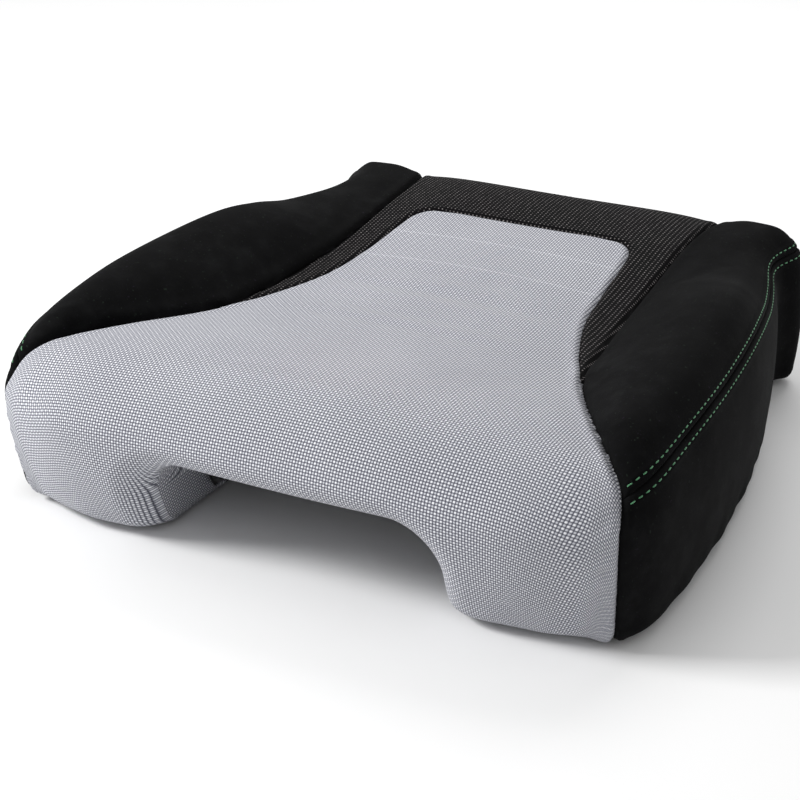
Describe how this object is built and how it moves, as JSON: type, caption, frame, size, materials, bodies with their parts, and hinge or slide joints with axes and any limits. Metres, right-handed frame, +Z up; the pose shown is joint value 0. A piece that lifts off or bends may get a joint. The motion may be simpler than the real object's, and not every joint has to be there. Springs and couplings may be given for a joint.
{
  "type": "booster seat cushion",
  "caption": "Upholstered booster cushion with raised side bolsters, a front arch between two lobes, a woven seat panel, mesh border and suede sides over a moulded base.",
  "frame": {"origin": "on the floor under the middle of the cushion", "axes": "+X to the right seen from the front, -Y towards the front arch, +Z up"},
  "size_m": [0.4498, 0.461, 0.1336],
  "materials": {
    "woven": "silver-grey dobby weave with darker threads between the picks, laminated to foam",
    "mesh": "black spacer mesh with small pale dots in rows",
    "suede": "black microfibre suede with a short, faintly mottled nap",
    "thread": "pale green polyester topstitching",
    "foam": "moulded grey polyurethane foam",
    "strip": "black hook-and-loop strip",
    "shell": "black moulded polypropylene with a fine spark texture",
    "hem": "black woven binding tape",
    "elastic": "flat black elastic",
    "foot": "black moulded rubber",
    "screw": "zinc-plated steel"
  },
  "bodies": {
    "root": {"seat_panel": "woven", "border_panel": "mesh", "rear_panel": "suede", "bolster_panel_left": "suede", "bolster_panel_right": "suede", "side_panel_left": "suede", "side_panel_right": "suede", "topstitch_inner_left": "thread", "topstitch_inner_right": "thread", "topstitch_outer_left": "thread", "topstitch_outer_right": "thread", "seat_foam": "foam", "bolster_foam_left": "foam", "bolster_foam_right": "foam", "tie_down_strip_left": "strip", "tie_down_strip_right": "strip", "base_shell": "shell", "cover_hem": "hem", "hem_elastic": "elastic", "foot_front_left": "foot", "foot_front_right": "foot", "foot_rear_left": "foot", "foot_rear_right": "foot", "foot_screws": "screw"}
  },
  "joints": []
}
